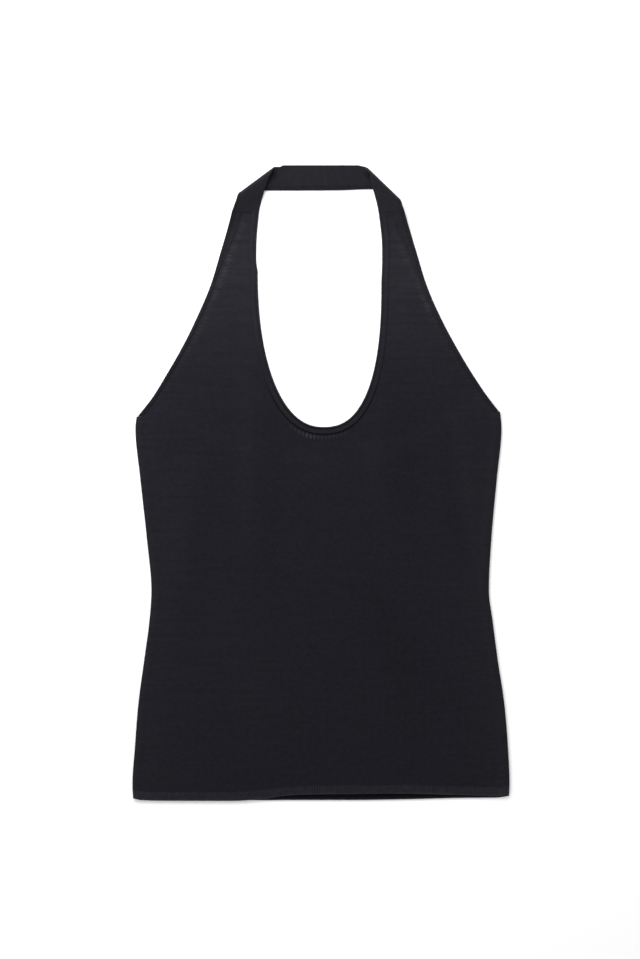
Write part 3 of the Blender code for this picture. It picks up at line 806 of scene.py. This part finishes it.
neck_seam = neck_halves(NECK_TRIM_WIDTH - SEAM_LAP, STRAP_SEAM_TOP + SEAM_LAP)
front_patches, front_top = [], []
for side in SIGN:
    top, bottom_centre = UNDERARM[side] - SIDE_GAP, neck_seam[side][0]
    outer, inner, foot = body_edges(side, "front", top, bottom_centre[1], CENTRE_ROWS)
    inner[:, 0] = bottom_centre[0]
    armhole = armhole_inset(side, ARMHOLE_TRIM_WIDTH - SEAM_LAP, top, STRAP_START + SEAM_LAP)
    outer = np.vstack([outer, shared_out(armhole, BIB_ROWS)])
    neck_rows = len(outer) - len(inner)
    inner = np.vstack([inner, shared_out(neck_seam[side], neck_rows + 1)[1:]])
    seam = strap_seam(side, inner[-1] - [0.0, SEAM_LAP])
    head = moved_right(seam[1:], SIGN[side] * SEAM_LAP)
    head[0], head[-1] = outer[-1], inner[-1]
    plan = half_plan(outer, inner, foot, head)
    soft = relief(plan)
    # painted light: the side highlight, the top light and the crest highlight
    light = painted_side_light(side, plan) + painted_top_light(plan[..., 1]) + CREST_LIGHT * soft
    for seam_line, share, shade in (
        (neck_seam[side], near_foot(plan[..., 1], ALONG_NECK), NECK_SHADE),
        (armhole, ARMHOLE_SINK, SEAM_SHADE),
        (shared_out(head, FINE), HEAD_SINK, SEAM_SHADE),
    ):
        sunk = share * (1 - smoothstep(distance_to(seam_line[::3], plan) / SINK_WIDTH))
        soft -= SINK * sunk
        # painted shade where each seam sinks the cloth
        light -= shade * sunk
    heights = plan[..., 1].clip(GLOW[0].height, GLOW[-1].height)
    painted_marks_light = MARKS_LIGHT * reach(GLOW, side, heights)
    light += painted_marks_light * np.exp(-((distance_to(marks_line(side)[::3], plan) / MARKS_WIDTH) ** 2))
    upper, under = half_wall(side, plan, BODY_ROWS, "front", soft)
    front_patches.append((upper, under, *facing_right(side, plan, light)))
    front_top.append(upper.reshape(-1, 3))
front = shell("front_jersey", front_patches, jersey)
front_top = np.concatenate(front_top)

# %% [markdown]
# ## The back
#
# The back is a lower layer under the front. Its own relief can't be seen, so it is level. Its
# top edge dips from one underarm to the other.

# %% Back panel
back_patches = []
for side in SIGN:
    top = UNDERARM[side] - SIDE_GAP
    outer, inner, foot = body_edges(side, "back", top, BACK_LOWEST, BODY_ROWS)
    across = np.linspace(outer[-1, 0], NECK_CENTRE, FINE)
    head = np.column_stack([across, back_top(across)])
    head[0] = outer[-1]
    plan = half_plan(outer, inner, foot, head)
    walls = half_wall(side, plan, BODY_ROWS, "back")
    back_patches.append((*walls, *facing_right(side, plan, painted_side_light(side, plan))))
back = shell("back_jersey", back_patches, jersey)

# %% [markdown]
# ## The hems' ribs
#
# A one by one rib is a column of knit stitches, then one of purl stitches, so it stands up in
# fine cords. They are real geometry here: the skin that shows goes up and down across the hem,
# and evens out where the side edges turn.

# %% Hem ribs
FURROW_SHADE, RIB_LIP_LIGHT = 0.3, 1.5  # painted shade between the cords, and painted highlight along the lower lip
BACK_SHADE = 0.75  # painted shadow on the back's rib, which lies in the front's shadow
LIP_DROP, HEAD_DROP = 0.35, 0.08  # how far the skin rounds down at the lip and at the seam
ROUND_SHARE, HEAD_SHARE, LIP_SHARE = 0.12, 0.1, 0.18  # of the rib's height


def hem_rib(layer):
    """A hem's band of cords, from its lip up to the panel."""
    patches = []
    plain = int(reach(SIDE_SEAM, "left", 0.0) / RIB_PITCH * POINTS_PER_RIB)
    for side in SIGN:
        rows = []
        for up in np.linspace(0.0, RIB_HEIGHT, RIB_ROWS + 1):
            corner = hem_height(layer, SIGN[side] * getattr(SIDE_SEAM[0], side)) + up
            edge = SIGN[side] * reach(SIDE_SEAM, side, corner)
            turned = edge - SIGN[side] * np.linspace(0.0, ROLL, ROLL_COLUMNS + 1)
            across = np.concatenate([turned, np.linspace(turned[-1], NECK_CENTRE, plain)[1:]])
            rows.append(np.column_stack([across, hem_height(layer, across) + up]))
        plan = np.array(rows)
        up = np.linspace(0.0, 1.0, RIB_ROWS + 1)[:, None]
        cords = np.cos(2 * np.pi * plan[..., 0] / RIB_PITCH) * 0.5 - 0.5
        from_edge = np.abs(plan[..., 0] - plan[:, :1, 0])
        fade = smoothstep((from_edge - ROLL) / RIB_PITCH) * smoothstep((1.02 - up) / ROUND_SHARE)
        rounding = LIP_DROP * (1 - smoothstep(up / ROUND_SHARE))
        rounding = rounding + HEAD_DROP * smoothstep((up - 1 + HEAD_SHARE) / HEAD_SHARE)
        upper, under = half_wall(side, plan, RIB_ROWS + 1, layer)
        shift = RIB_DEPTH * cords * fade - rounding
        # painted light and shade: highlight near the side edge, shade between the cords, highlight
        # on the lip
        light = EDGE_LIGHT * np.exp(-from_edge / EDGE_LIGHT_WIDTH)
        light += FURROW_SHADE * (cords + 0.5) * fade
        light += RIB_LIP_LIGHT * (1 - smoothstep(up / LIP_SHARE))
        shift, plan, light = facing_right(side, shift, plan, light)
        if layer == "back":
            light = light - BACK_SHADE
        else:
            upper[..., 2] += shift
        patches.append((upper, under, plan, light))
    return shell(f"{layer}_rib", patches, rib_knit)


front_rib, back_rib = (hem_rib(layer) for layer in ("front", "back"))

# %% [markdown]
# ## Bindings
#
# The neckline and the armholes are finished with a narrow strip folded over the edge, with a
# rounded section, a fold line close to the opening and a seam on its far side. A bevelled curve
# could make it, but its ends and its flat underside would need cutting, so it is drawn as a
# grid across and along, like the panels.

# %% Binding builder
Binding = namedtuple(  # all but the depth, shade and light are shares of the strip's width
    "Binding",
    "open_at round_share lip_share groove_at groove_width groove_depth groove_shade edge_light",
)
NECK_BINDING = Binding(0, 0.1, 0.22, 0.33, 0.075, 0.35, 0.9, 1.4)
ARMHOLE_BINDING = Binding(0, 0.2, 0.35, 0.62, 0.12, 0.15, 0.3, 0.5)
BINDING_COLUMNS, THIN_TRIM = 24, 0.08  # the second is what its wall thins to at its edges
BINDING_LIGHT, LEAST_PAINTED = 0.18, 0.35  # painted light all along, and the share of painted light and shade left above the neckline's foot


def spread(start, end, shares):
    """A grid whose rows run from one path's points to another's."""
    return start[:, None] + shares[..., None] * (end - start)[:, None]


def rounded(near, least):
    """A quarter circle's height from the least height up to 1, as near goes from 0 to 1."""
    return least + (1 - least) * np.sqrt(1 - (1 - np.clip(near, 0.0, 1.0)) ** 2)


def strip(name, edge, inset, section):
    """A binding between its open edge and its sewn edge."""
    share = np.linspace(0.0, 1.0, BINDING_COLUMNS + 1)
    plan = spread(edge, inset, share)
    middle = plan[:, BINDING_COLUMNS // 2]
    lift = front_lift(middle[:, 0], middle[:, 1])[:, None]
    near = np.minimum(share, 1 - share) / section.round_share
    half = TRIM_WALL / 2 * rounded(near, THIN_TRIM)
    from_open = np.abs(share - section.open_at)
    line = np.exp(-(((from_open - section.groove_at) / section.groove_width) ** 2))
    upper = np.dstack([plan, lift + TRIM_WALL / 2 + (half - section.groove_depth * line)[None]])
    under = np.dstack([plan, lift + TRIM_WALL / 2 - half[None]])
    run = np.broadcast_to(along(middle)[:, None], plan.shape[:2])
    width = np.linalg.norm(inset - edge, axis=1)[:, None] * share[None]
    # painted highlight on the open lip and all along, painted shade in the fold line's groove
    lip = section.edge_light * (1 - smoothstep(from_open / section.lip_share))
    painted_binding_light = lip + BINDING_LIGHT - section.groove_shade * line
    light = near_foot(middle[:, 1:], LEAST_PAINTED) * painted_binding_light + painted_top_light(plan[..., 1])
    return shell(name, [(upper, under, np.dstack([run, width]), light)], binding)


# %% Neckline binding
edges = []
for distance in (0.0, NECK_TRIM_WIDTH):
    halves = neck_halves(distance, STRAP_SEAM_TOP + SEAM_LAP)
    left, right = (shared_out(halves[side], 2 * BIB_ROWS + 1) for side in SIGN)
    edges.append(np.vstack([left[::-1], right[1:]]))
neck_binding = strip("neckline_binding", *edges, NECK_BINDING)
print(f"the neckline's binding is {along(edges[0])[-1]:.0f} mm long at its open edge")

# %% Armhole bindings
armhole_bindings = {}
for side in SIGN:
    span = (UNDERARM[side], STRAP_START + SEAM_LAP)
    edge, inset = (
        shared_out(armhole_inset(side, distance, *span), BIB_ROWS + 1)
        for distance in (0.0, ARMHOLE_TRIM_WIDTH)
    )
    section = ARMHOLE_BINDING
    if side == "right":
        edge, inset = inset, edge
        section = section._replace(open_at=1)
    armhole_bindings[side] = strip(f"armhole_binding_{side}", edge, inset, section)

# %% [markdown]
# ## The strap
#
# One strap runs up beside the tip of the bib, folds over at a slanting crease, passes level
# behind the neck and comes back the same way. Its lower ends taper down along the armholes. Its
# edges are turned in, so a stitched line runs along them, and the level part shows its inside.

# %% The strap's middle surface
def crowded(count):
    """Shares from 0 to 1 that lie closer together at the start."""
    return np.linspace(0.0, 1.0, count + 1) ** EDGE_CROWDING


EDGE_CROWDING = 1.4
BAND_SHARES, INSIDE_SHARES = crowded(BAND_COLUMNS), 1 - crowded(INSIDE_COLUMNS)[::-1]


def held_up(plan):
    """The middle of the strap's wall over each point of a plan."""
    return np.dstack([plan, STRAP_WALL / 2 + crease_rise(plan[..., 0], plan[..., 1])])


def band_grid(side):
    """The tapered band beside the tip of the front, up to where the strap is whole."""
    _, border = band_border(side)
    border = through(border)
    edge = armhole_inset(side, 0.0, STRAP_START, STRAP_SEAM_TOP)
    edge, border = (
        between(path, STRAP_START, STRAP_SEAM_TOP, BAND_ROWS + 1) for path in (edge, border)
    )
    return held_up(spread(edge, border, BAND_SHARES))


def leg_grid(side):
    """The whole strap's middle surface from the top of its seam to its crease."""
    last, hair = leg_top(side), 0.01
    inner_start = neck_halves(0.0, STRAP_SEAM_TOP)[side][-1]
    inner_line = neck_halves(0.0, last[1][1] - hair)[side]
    upper = inner_line[inner_line[:, 1] > STRAP_SEAM_TOP]
    split_top = last[0] + STRAP_SPLIT * (last[1] - last[0])
    outer, split, inner = (
        shared_out(path, LEG_ROWS + 1)
        for path in (
            armhole_inset(side, 0.0, STRAP_SEAM_TOP, last[0][1]),
            np.array([band_border(side)[1][-1], split_top]),
            np.vstack([inner_start, upper, last[1]]),
        )
    )
    outer[-1] = last[0]
    inside = spread(split, inner, INSIDE_SHARES)[:, 1:]
    return held_up(np.hstack([spread(outer, split, BAND_SHARES), inside]))


def fold_grid(side, crease_row):
    """The rows that wrap round the crease, from the leg down to the back of the neck."""
    _, _, run, out, slip = fold_of(side)
    rows, facing = [], []
    for turn in np.linspace(0.0, math.pi, FOLD_ROWS + 1):
        moved = run * slip * turn / math.pi + out * FOLD_RADIUS * math.sin(turn)
        rows.append(crease_row + [*moved, -FOLD_RADIUS * (1 - math.cos(turn))])
        facing.append([*(out * math.sin(turn)), math.cos(turn)])
    return np.array(rows), np.array(facing)


legs = {side: leg_grid(side) for side in SIGN}
folds = {side: fold_grid(side, legs[side][-1]) for side in SIGN}
left_end, right_end = folds["left"][0][-1], folds["right"][0][-1]
foot, top = (
    shared_out(through([left_end[end, :2], *line, right_end[end, :2]]), BRIDGE_ROWS + 1)
    for end, line in ((0, BRIDGE_FOOT), (-1, BRIDGE_TOP))
)
left_shares, right_shares = (along(row) / along(row)[-1] for row in (left_end, right_end))
turn = np.linspace(0.0, 1.0, BRIDGE_ROWS + 1)[:, None]
bridge_shares = (1 - turn) * left_shares + turn * right_shares
bridge = spread(foot, top, bridge_shares)
bridge = np.dstack([bridge, np.full(bridge.shape[:2], STRAP_WALL / 2)])
middle = np.concatenate([
    legs["left"][:-1], folds["left"][0], bridge[1:-1],
    folds["right"][0][::-1], legs["right"][::-1][1:],
])
UP = np.array([0.0, 0.0, 1.0])
facing = np.concatenate([
    np.tile(UP, (LEG_ROWS, 1)), folds["left"][1], np.tile(-UP, (BRIDGE_ROWS - 1, 1)),
    folds["right"][1][::-1], np.tile(UP, (LEG_ROWS, 1)),
])
run = along(middle[:, BAND_COLUMNS])
width = along(bridge[BRIDGE_ROWS // 2])[-1]
print(f"the strap is {run[-1]:.0f} mm long and {width:.1f} mm wide")

# %% The strap's turned edges
Turning = namedtuple("Turning", "at width depth")
OUTER_FACE = (Turning(2.9, 0.5, 0.22),)
INNER_FACE = (Turning(1.3, 0.45, 0.22), Turning(3.9, 0.5, 0.30))
ROUND_EDGE, THIN_EDGE = 0.9, 0.15  # how far in an edge is rounded, and what it thins to


def grooves(lines, distance):
    """How deep a face is at a distance from the strap's outer edge."""
    return sum(row.depth * np.exp(-(((distance - row.at) / row.width) ** 2)) for row in lines)


FOLD_LIGHT, RIM_LIGHT, GROOVE_SHADE = 1.8, 0.15, 1.2  # painted highlight on the fold and the rims, painted shade in the grooves; the last is for each millimetre
STRAP_TOP_LIGHT = 0.75  # how much of the painted top light the strap takes
LEG_SHADE, LEG_SHADE_WIDTH = 0.5, 8.0  # painted shadow on the bridge, beside the legs that lie on it


def strap_patch(grid, facing, run, inner_edge=True):
    """The two skins over a grid of the strap's middle."""
    from_outer = np.stack([along(row) for row in grid])
    nearest = from_outer
    if inner_edge:
        nearest = np.minimum(from_outer, from_outer[:, -1:] - from_outer)
    nearest = np.clip(nearest / ROUND_EDGE, 0.0, 1.0)
    half = STRAP_WALL / 2 * rounded(nearest, THIN_EDGE)
    outside, inside = grooves(OUTER_FACE, from_outer), grooves(INNER_FACE, from_outer)
    upper = grid + facing[:, None] * (half - outside)[..., None]
    under = grid - facing[:, None] * (half - inside)[..., None]
    grain = np.dstack([from_outer, np.broadcast_to(run[:, None], from_outer.shape)])
    light = STRAP_TOP_LIGHT * painted_top_light(grid[..., 1]) + RIM_LIGHT * (1 - nearest)
    light += FOLD_LIGHT * (1 - facing[:, 2:] ** 2)
    light -= GROOVE_SHADE * (outside + inside)
    beneath = facing[:, 2:] < 0
    for side in SIGN:
        leg_edge = np.vstack([neck_halves(0.0, STRAP_SEAM_TOP)[side][-1:], leg_top(side)[1]])
        under_leg = 1 - smoothstep(distance_to(leg_edge, grid[..., :2]) / LEG_SHADE_WIDTH)
        light -= LEG_SHADE * under_leg * beneath
    return upper, under, grain, light


# %% Strap
BAND_RUN = 60.0  # how far the knit's courses run down each tapered end
patches = [strap_patch(middle, facing, run)]
up = np.tile(UP, (BAND_ROWS + 1, 1))
for side, low, high, turned in (
    ("left", -BAND_RUN, 0.0, 1), ("right", run[-1] + BAND_RUN, run[-1], -1)
):
    run_here = np.linspace(low, high, BAND_ROWS + 1)
    parts = strap_patch(band_grid(side), up, run_here, inner_edge=False)
    patches.append([part[::turned] for part in parts])
# Where the bands join the legs, both patches take the legs' points, so that they weld.
patches[1][0][-1], patches[1][1][-1] = (part[0, : BAND_COLUMNS + 1] for part in patches[0][:2])
patches[2][0][0], patches[2][1][0] = (part[-1, : BAND_COLUMNS + 1] for part in patches[0][:2])
strap = shell("neck_strap_jersey", patches, strap_jersey)

# %% [markdown]
# ## Fashioning marks and open stitches
#
# A knitted front is narrowed by moving stitches inwards, and each moved stitch leaves a small
# loop that lies across. A row of them follows each armhole and the strap's seam. Below the
# neckline a few wales are stretched open by the binding, like the rungs of a ladder. Each is a
# little rounded loop half sunk in the jersey, and each kind is joined into one object.

# %% Stitch builder
Mark = namedtuple("Mark", "length width height")
MOVED_STITCH = Mark(4.6, 1.5, 0.25)
OPEN_STITCH = Mark(5.0, 2.4, 0.25)
RINGS, SIDES = 6, 6


def top_of_front(x, height):
    """The upper skin's height at a place, from the nearest few of its points."""
    away = np.hypot(front_top[:, 0] - x, front_top[:, 1] - height)
    near = np.argsort(away)[:4]
    return float(np.average(front_top[near, 2], weights=1 / (away[near] + 0.1)))


def stitch(x, height, angle, mark, light):
    """The points and the painted light of one rounded loop on the front."""
    ring = np.linspace(-1.0, 1.0, RINGS + 1)
    girth = np.sqrt(np.clip(1 - ring**2, 0.02, 1.0))
    turn = np.linspace(0.0, 2 * np.pi, SIDES, endpoint=False)
    long = ring[:, None] * mark.length / 2 + 0 * turn
    wide = girth[:, None] * np.cos(turn) * mark.width / 2
    px = x + long * math.cos(angle) - wide * math.sin(angle)
    py = height + long * math.sin(angle) + wide * math.cos(angle)
    pz = top_of_front(x, height) + girth[:, None] * np.sin(turn) * mark.height
    return np.stack([px, py, pz], axis=-1).reshape(-1, 3), light + float(painted_top_light(height))


def join_stitches(name, stitches):
    """One object from many stitches."""
    index = np.arange((RINGS + 1) * SIDES).reshape(RINGS + 1, SIDES)
    loop = grid_faces(np.hstack([index, index[:, :1]]))[:, ::-1].tolist()
    loop += [index[0].tolist(), index[-1][::-1].tolist()]
    faces = [
        [corner + k * index.size for corner in face] for k in range(len(stitches)) for face in loop
    ]
    points = np.concatenate([some for some, _ in stitches])
    piece = add_piece(name, points, faces, open_loops)
    grain_map(piece, points[:, :2])
    per_point(piece, "edge_light", np.repeat([light for _, light in stitches], index.size))
    print(f"{name}: {len(stitches)} stitches, {len(faces)} faces")
    return piece


loops = random.Random(7)
print(f"each stitch has {(RINGS + 1) * SIDES} points")

# %% Fashioning marks
marks = []
for side in SIGN:
    for x, height in marks_line(side):
        # painted highlight on each moved stitch
        glow = float(reach(GLOW, side, height)) * loops.uniform(0.2, 1.3)
        lean = math.radians(loops.uniform(-8, 8))
        marks.append(stitch(x + loops.uniform(-0.6, 0.6), height, lean, MOVED_STITCH, glow))
fashioning = join_stitches("fashioning_marks", marks)

# %% Ladder of stretched stitches
LADDER_FROM, LADDER_TO, LADDER_PITCH = -30.0, 26.0, 3.9
BRIGHT_FROM, BRIGHT_TO, LADDER_FADE = -18.0, -8.0, 5.5  # the rungs with the brightest painted highlight
LADDER_INSET, LADDER_HEIGHT = 3.8, 420.0  # below the binding, and how far up its line is needed
# painted highlight on the rungs: the faintest, and the most that is added
FAINT, BRIGHT = 0.08, 0.8
rungs = []
halves = neck_halves(NECK_TRIM_WIDTH + LADDER_INSET, LADDER_HEIGHT)
ladder_line = np.vstack([halves["left"][::-1], halves["right"]])
for x in np.arange(LADDER_FROM, LADDER_TO, LADDER_PITCH):
    height = float(np.interp(x, ladder_line[:, 0], ladder_line[:, 1]))
    away = max(BRIGHT_FROM - x, x - BRIGHT_TO, 0.0)
    # painted highlight on each rung
    glow = FAINT + BRIGHT * math.exp(-((away / LADDER_FADE) ** 2)) * loops.uniform(0.7, 1.2)
    lean = math.radians(90 + loops.uniform(-6, 6))
    rungs.append(stitch(x, height, lean, OPEN_STITCH, glow))
ladder = join_stitches("ladder_stitches", rungs)

# %% [markdown]
# ## The body and the hidden solids
#
# Each shell stands for the plain solid of the same piece, which is hidden, and rides on the only
# body, as do the stitches. The cloth area of the two panels and the strap is printed beside
# their cut.

def flat_area(piece):
    """Half of a closed shell's surface, in square metres: the area of the cloth itself."""
    return sum(polygon.area for polygon in piece.data.polygons) / 2


for piece, node, slot in (
    (front, "front_panel", "jersey"),
    (back, "back_panel", "jersey"),
    (front_rib, "front_hem_rib", "rib"),
    (back_rib, "back_hem_rib", "rib"),
    (strap, "neck_strap", "strap_jersey"),
    (neck_binding, "neckline_trim", "trim"),
    (armhole_bindings["left"], "armhole_trim_left", "trim"),
    (armhole_bindings["right"], "armhole_trim_right", "trim"),
):
    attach(piece, "root")
    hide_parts(node)
for piece in (fashioning, ladder):
    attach(piece, "root")

FRONT_CUT, BACK_CUT, STRAP_CUT = (0.386, 0.590), (0.386, 0.386), (0.028, 0.372)
for piece, cut in ((front, FRONT_CUT), (back, BACK_CUT), (strap, STRAP_CUT)):
    print(f"{piece.name}: {flat_area(piece):.4f} m2 of cloth in a cut of {cut[0]} by {cut[1]} m")

# %% [markdown]
# ## Floor, light and camera
#
# The top lies on a matt white board. One wide soft light stands beyond the neck, so the bib is
# lighter than the hem, and a low one on each side picks out the turned edges. The camera looks
# straight down.

# %% Floor
board = bpy.data.materials.new("matt white board")
board.use_nodes = True
paper = board.node_tree.nodes["Principled BSDF"]
paper.inputs["Base Color"].default_value = linear("#ffffff")
paper.inputs["Roughness"].default_value = 0.9
paper.inputs["Specular IOR Level"].default_value = 0.1
grain_of_board = add_node(board, "TexNoise", {"Scale": 400.0, "Detail": 2.0})
board_bump = add_node(board, "Bump", {"Height": grain_of_board, "Distance": 0.05 * MM})
board.node_tree.links.new(board_bump.outputs[0], paper.inputs["Normal"])
HALF_BOARD, BOARD_GAP = 12000.0, 0.05  # the gap keeps the board off the cloth's flat underside
corners = ((-1, -1), (1, -1), (1, 1), (-1, 1))
floor_points = [(x * HALF_BOARD, y * HALF_BOARD - BASE, -BOARD_GAP) for x, y in corners]
floor = add_piece("floor", floor_points, [(0, 1, 2, 3)], board)
print(f"a board {2 * HALF_BOARD * MM:.0f} m wide")

# %% Lights
Soft = namedtuple("Soft", "name x y z width depth watts")
LIGHTS = (
    Soft("window beyond the neck", -0.35, 0.74, 0.62, 1.2, 0.6, 12.9),
    Soft("low light on the left", -1.5, 0.0, 0.55, 0.5, 1.4, 4.0),
    Soft("low light on the right", 1.5, 0.1, 0.55, 0.5, 1.4, 0.8),
)
for row in LIGHTS:
    lamp = bpy.data.lights.new(row.name, "AREA")
    lamp.shape, lamp.size, lamp.size_y, lamp.energy = "RECTANGLE", row.width, row.depth, row.watts
    light = bpy.data.objects.new(row.name, lamp)
    light.location = (row.x, row.y, row.z)
    aim = -light.location.normalized()
    light.rotation_euler = aim.to_track_quat("-Z", "Y").to_euler()
    bpy.context.scene.collection.objects.link(light)
SKY_STRENGTH = 0.735
world_light = bpy.data.worlds.new("plain studio")
world_light.use_nodes = True
sky = world_light.node_tree.nodes["Background"].inputs
sky["Color"].default_value, sky["Strength"].default_value = linear("#ffffff"), SKY_STRENGTH
bpy.context.scene.world = world_light
bpy.context.scene.view_settings.view_transform = "Standard"
print(f"{len(LIGHTS)} soft lights and a plain white sky")

# %% Camera
VIEW_HEIGHT, CAMERA_HEIGHT, SENSOR = 0.9782, 2.6, 36.0  # metres, metres and millimetres
AIM = (-0.001, 0.0035)
lens = bpy.data.cameras.new("overhead camera")
lens.sensor_width = SENSOR
lens.lens = SENSOR * CAMERA_HEIGHT / VIEW_HEIGHT
camera = bpy.data.objects.new("overhead camera", lens)
camera.location = (*AIM, CAMERA_HEIGHT)
bpy.context.scene.collection.objects.link(camera)
bpy.context.scene.camera = camera
print(f"a {lens.lens:.1f} mm lens, {CAMERA_HEIGHT} m above the cloth")
